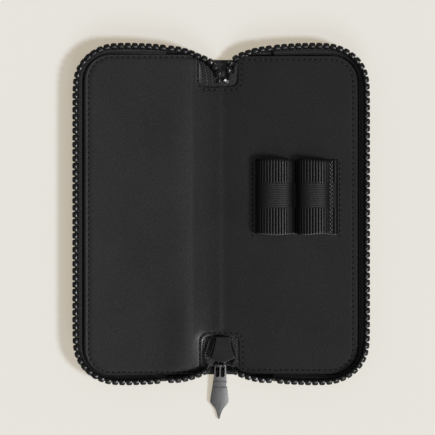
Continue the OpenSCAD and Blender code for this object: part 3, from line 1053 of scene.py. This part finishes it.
def add_zigzag():
    """The zigzag seam that holds the flat end of the elastic; its thread is painted light grey as painted
    sheen.
    """
    master = bead("zigzag", 1.35, 0.5, 0.6)
    middle = LOOPS_HIGH.x - 2.9
    top = height_at(lining_height(1), middle, BAND_MIDDLE) + 1.0
    path = np.array([(middle, BAND_LOW + 0.9), (middle, BAND_HIGH - 0.9)])
    places = []
    for offset, sideways, lean in ((0.25, 0.38, 38), (0.75, -0.38, -38)):
        places += places_on(path, lambda p: top, 1.9, offset, lean, sideways)
    seam = copies_piece("loop_end_seam", master, places)
    finish_piece(seam, SHEEN_PAINTED_THREAD, "elastic", "right_half")
    bpy.data.objects.remove(master)


# ---- slider

PLATE_X = 1.4
SLIDER_X = 0.8
PULLER_X = 0.2
TAIL_Y = SLIDER_HIGH.y
NOSE_Y = TAIL_Y - 12.4
BAR_Y = NOSE_Y - 1.5
BAR_Z = SLIDER_LOW.z + 1.3
PLATE_T = 1.0
HOOK_X = 1.3  # each hook from the puller's middle
HOOK_STRETCH = 1.75


def outlined_plate(name, outline, z, thickness, bevel=0.0):
    """A flat plate: a filled ring of vertices moved to the outline, then drawn up."""
    obj = add("circle", name, vertices=len(outline), radius=MM,
              fill_type="NGON", location=(0, 0, 0))
    for vert, (x, y) in zip(obj.data.vertices, outline):
        vert.co = Vector((x, y, z)) * MM
    with editing(obj):
        ops.mesh.extrude_region_move(TRANSFORM_OT_translate={"value": (0, 0, thickness * MM)})
    recalculate(obj)
    if bevel:
        soften(obj, bevel, 3, 50)
    return obj


def soften(obj, width, segments, angle):
    """Bevels the edges that are sharper than the angle."""
    apply_modifier(obj, "BEVEL", width=width * MM, segments=segments, limit_method="ANGLE",
                   angle_limit=radians(angle))


def polish(obj):
    """Shading for plates: flat faces stay flat and their bevels catch the light."""
    smooth(obj, 35)
    apply_modifier(obj, "WEIGHTED_NORMAL", weight=100, keep_sharp=True)


def slider_outline():
    half = [(3.4, 0), (3.6, -2.1), (3.95, -4), (4.6, -6.4), (5.25, -8.8), (5.6, -10.1), (5.2, -10.8),
            (0.5, -12.6)]
    shape = half + [(-x, y) for x, y in half[::-1]]
    return [(x + PLATE_X, TAIL_Y + y) for x, y in shape[::-1]]


def join_all(objects, name):
    only(objects[0])
    for obj in objects[1:]:
        obj.select_set(True)
    ops.object.join()
    joined = bpy.context.object
    joined.name = name
    joined.data.name = name
    return joined


def shifted(points, x0, y0, side=1):
    return [(x0 + side * x, y0 + y) for x, y in points]


def add_slider():
    """Two plates with a post and low rims between them, and two hooks for the puller."""
    low, high = SLIDER_LOW.z + 0.1, SLIDER_HIGH.z
    inside_low, inside_high = low + PLATE_T - 0.1, high - PLATE_T
    parts = [outlined_plate("slider", slider_outline(), inside_high, PLATE_T, 0.42),
             outlined_plate("front_plate", slider_outline(), low, PLATE_T, 0.25)]
    post = [(-1.3, 3.2), (0, 0.8), (1.3, 3.2), (0.5, 6.2), (-0.5, 6.2)]
    parts.append(outlined_plate("post", shifted(post, SLIDER_X, NOSE_Y), inside_low,
                                inside_high - inside_low + 0.1, 0.1))
    for side in (-1, 1):
        wall = [(4.9, -8.4), (5.6, -8.6), (3.7, -2.0), (3.0, -1.8)]
        for z in (inside_low, inside_high - 0.5):
            parts.append(outlined_plate("rim", shifted(wall, SLIDER_X, TAIL_Y, side)[::side], z, 0.6, 0.1))
        hook_x = PULLER_X + side * HOOK_X
        hook = add("torus", "hook", major_radius=1.0 * MM, minor_radius=0.3 * MM,
                   major_segments=28, minor_segments=8, rotation=(0, pi / 2, 0))
        hook.data.transform(Matrix.Translation(Vector((hook_x, BAR_Y, BAR_Z)) * MM)
                            @ Matrix.Diagonal((HOOK_STRETCH, 1, 1, 1)))
        parts.append(hook)
        arm = [(-0.55, 0.85), (0.55, 0.85), (0.55, 3.6), (-0.55, 3.6)]
        parts.append(outlined_plate("arm", shifted(arm, hook_x, BAR_Y), low, 0.9, 0.12))
    slider = join_all(parts, "zip_slider")
    polish(slider)
    finish_piece(slider, ENAMEL, "slider_enamel", "slider", "slider_body")


# ---- puller

PULLER_LEN = 26.2
PULLER_T = 1.2
NIB_W = 4.55


def cut(obj, cutter):
    """Takes the cutter's shape out of the piece."""
    apply_modifier(obj, "BOOLEAN", operation="DIFFERENCE", solver="EXACT", object=cutter)
    bpy.data.objects.remove(cutter)


def puller_outline():
    """Left side from the top down to the tip, then the right side back up."""
    half = [(0.35, 0.12), (0.8, 0.42), (1.9, 0.5), (2.45, 0.2), (2.7, -0.5), (3.0, -5), (3.25, -7.2),
            (3.6, -10.6), (4.1, -14), (NIB_W, -17.8), (4.2, -18.4), (3.7, -19.1), (3.15, -19.8),
            (2.6, -20.4), (2.15, -21), (1.75, -21.6), (1.3, -22.8), (0.9, -24), (0.62, -25.2),
            (0.42, -25.9), (0.15, -PULLER_LEN)]
    return [(-x, y) for x, y in half] + half[::-1]


def slot_outline(side, half_width, top, bottom):
    """A slot with round ends."""
    middle, corners = side * 1.27, 24
    points = []
    for k in range(corners):
        a = 2 * pi * k / corners
        end = top - half_width if sin(a) > 0 else bottom + half_width
        points.append((middle + half_width * cos(a), end + half_width * sin(a)))
    return points


def crown(plate):
    """Arches the plate a little across its width, as a nib is."""
    rise = 0.36 * MM
    with editing(plate):
        for x in np.arange(-3.75, 4, 0.75):
            ops.mesh.select_all(action="SELECT")
            ops.mesh.bisect(plane_co=(x * MM, 0, 0), plane_no=(1, 0, 0))
    for vert in plate.data.vertices:
        vert.co.z -= rise * (vert.co.x / MM / NIB_W) ** 2


def add_puller():
    """A nib-shaped plate with two slots, two grooves, a slit and a vent, and a black fill in the lower
    part of each slot, whose black is painted shade.
    """
    face = PULLER_T / 2
    grooves_y, vent_y, slit_y = (-7.75, -10.5), -17.9, -22.2
    plate = outlined_plate("zip_puller", puller_outline(), -face, PULLER_T)
    fills = []
    for side in (-1, 1):
        cut(plate, outlined_plate("slot", slot_outline(side, 0.97, 0.0, -5.75), -1, 2))
        # The fill in each slot is painted shade: a black plate where the slot is dark.
        fill = slot_outline(side, 1.02, -2.2, -5.8)
        fills.append(outlined_plate("fill", fill, 0.1 - face, 0.35))
    for y in grooves_y:
        cut(plate, add("cylinder", "groove", vertices=16, radius=0.32 * MM,
                       depth=12 * MM, rotation=(0, pi / 2, 0), location=(0, y * MM, (face + 0.02) * MM)))
    cut(plate, add("cube", "slit", size=1, scale=(0.2 * MM, 8.2 * MM, 0.5 * MM),
                   location=(0, slit_y * MM, face * MM)))
    cut(plate, add("cylinder", "vent", vertices=24, radius=0.4 * MM,
                   depth=0.7 * MM, location=(0, vent_y * MM, face * MM)))
    soften(plate, 0.16, 2, 40)
    crown(plate)
    slot_shade = join_all(fills, "puller_slot_enamel")
    slope = asin((BAR_Z - 0.7) / PULLER_LEN)
    place = (Matrix.Translation(Vector((PULLER_X, BAR_Y, BAR_Z)) * MM)
             @ Matrix.Rotation(radians(-1.7), 4, "Z") @ Matrix.Rotation(slope, 4, "X"))
    # The slot fills, filed under the slider's enamel slot, are painted shade.
    for piece, finish, slot in ((plate, GUNMETAL, "puller_metal"), (slot_shade, HOLE_SHADE, "slider_enamel")):
        piece.data.transform(place)
        polish(piece)
        finish_piece(piece, finish, slot, "puller")
    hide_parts("puller")


# ---- small metal, boards and foam

def add_end_stops():
    """Pressed clips folded round the ends of the two tape edges in the upper notch. Both are steel; the
    left one's black finish is painted shade.
    """
    # The left clip gets the black tooth finish as painted shade: it is the same steel as the right one.
    for word, turn, wide, finish in (("left", -24, 0.85, TOOTH), ("right", 56, 0.95, STEEL)):
        low, high = node_box(f"top_stop_{word}")
        size = high - low
        clip = add("cylinder", f"end_clip_{word}", vertices=16,
                   radius=0.5 * size.x * MM, depth=0.85 * size.y * MM, rotation=(pi / 2, 0, 0))
        clip.data.transform(Matrix.Diagonal((wide, 1, 0.85 * size.z / size.x, 1)))
        with editing(clip):
            pick(clip, "FACE", lambda f: abs(f.normal.y) > 0.9)
            ops.mesh.inset(thickness=0.25 * MM, depth=0.2 * MM)
            for y in (-0.3, 0.3):
                ops.mesh.select_all(action="SELECT")
                ops.mesh.bisect(plane_co=(0, y * MM, 0), plane_no=(0, 1, 0))
            pick(clip, "VERT", lambda v: abs(v.co.y) < 0.35 * MM)
            ops.transform.resize(value=(0.8, 1, 0.8), center_override=(0, 0, 0))
        clip.data.transform(Matrix.Translation((low + high) / 2 * MM)
                            @ Matrix.Rotation(radians(turn), 4, "Z"))
        smooth(clip, 40)
        finish_piece(clip, finish, "stop_steel", "spine", f"top_stop_{word}")


def add_foam():
    """Thin foam under the lining, a little puffed, with rounded rims."""
    for word, body in (("left", "left_half"), ("right", "right_half"), ("spine", "spine")):
        node = "spine_padding" if word == "spine" else f"padding_{word}"
        low, high = node_box(node)
        pad = add("cube", f"foam_{word}", size=1, scale=tuple((high - low) * MM),
                  location=tuple((low + high) / 2 * MM))
        outer = max(low.x, high.x, key=abs)
        with editing(pad):
            if word != "spine":
                pick(pad, "EDGE", lambda e: upright(e, 0.1 * MM)
                     and abs(e.verts[0].co.x / MM - outer) < 0.1)
                ops.mesh.bevel(offset=(CORNER_R - 5) * MM, segments=8)
            pick(pad, "FACE", lambda f: f.normal.z > 0.9)
            ops.mesh.inset(thickness=0.6 * MM, depth=0)
            pick(pad, "EDGE", lambda e: all(abs(v.co.z / MM - high.z) < 0.01 for v in e.verts)
                 and any(abs(f.normal.z) < 0.5 for f in e.link_faces))
            ops.mesh.bevel(offset=0.35 * MM, segments=2)
        smooth(pad, 40)
        finish_piece(pad, FOAM, "padding_foam", body, node)


def add_notch_leather():
    """Thin leather turned over the board in each notch, so that no board shows."""
    width = 18.0
    for word, low, high in (("upper", NOTCH_HIGH.y - 2.5, SPINE_HIGH.y - 0.3),
                            ("lower", SPINE_LOW.y + 3.2, NOTCH_LOW.y + 2.5)):
        end = high if word == "upper" else low
        flap = add("plane", f"{word}_notch_leather", size=MM)
        with editing(flap):
            ops.transform.resize(value=(width, high - low, 1), center_override=(0, 0, 0))
            ops.transform.translate(value=(0, (high + low) / 2 * MM, (BOARD_TOP + 0.22) * MM))
            ops.mesh.subdivide(number_cuts=15)
        for vert in flap.data.vertices:
            unevenness = 0.05 * sin(vert.co.x / MM * 1.3)
            turned_down = 0.85 * exp(-(abs(vert.co.y / MM - end) / 0.9) ** 2)
            vert.co.z += (unevenness - turned_down) * MM
        apply_modifier(flap, "SOLIDIFY", thickness=0.18 * MM, offset=0)
        smooth(flap, 45)
        finish_piece(flap, CALF, "outer_leather", "spine")


def paint_frame_parts():
    """The CAD parts that stay as they are, with their own finishes."""
    for name, material in (("spine_board", BOARD), ("board_left", BOARD), ("board_right", BOARD),
                           ("bottom_stop", GUNMETAL), ("tape_end_bottom", CANVAS)):
        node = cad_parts[name]
        node.data.materials.clear()
        node.data.materials.append(material)


# ---- surroundings

def add_floor():
    """A pale table that keeps some brightness of its own, so that shadows on it stay light and warm."""
    floor = add("plane", "floor", size=8, location=(0, 0, -0.02 * MM))
    material, place = new_finish("pale_table", Specular_IOR_Level=0.0, Emission_Strength=1.0,
                                 Roughness=0.9)
    mottle = noise(place, 6.0, 3.0)
    reflected = between(mottle, (0.353, 0.390, 0.430), (0.357, 0.394, 0.434))
    own = between(mottle, (0.442, 0.382, 0.289), (0.446, 0.386, 0.293))
    shader = material.node_tree.nodes["Principled BSDF"]
    feed(mottle.tree, shader.inputs["Base Color"], reflected)
    feed(mottle.tree, shader.inputs["Emission Color"], own)
    floor.data.materials.append(material)


def add_surroundings():
    add_floor()
    world = bpy.data.worlds.new("soft_room")
    bpy.context.scene.world = world
    world.use_nodes = True
    background = world.node_tree.nodes["Background"]
    background.inputs["Color"].default_value = (1, 1, 1, 1)
    background.inputs["Strength"].default_value = 0.2
    add_sun("window", (0.87, -0.38, 1.08), 2.76, 12)
    add_sun("reflector", (0.2, -0.9, 0.75), 0.71, 30)
    bpy.context.scene.view_settings.view_transform = "Standard"


add_lining()
add_cover()
add_stitching()
add_tapes()
add_teeth()
add_pen_loops()
add_slider()
add_puller()
add_end_stops()
add_foam()
add_notch_leather()
paint_frame_parts()
add_surroundings()
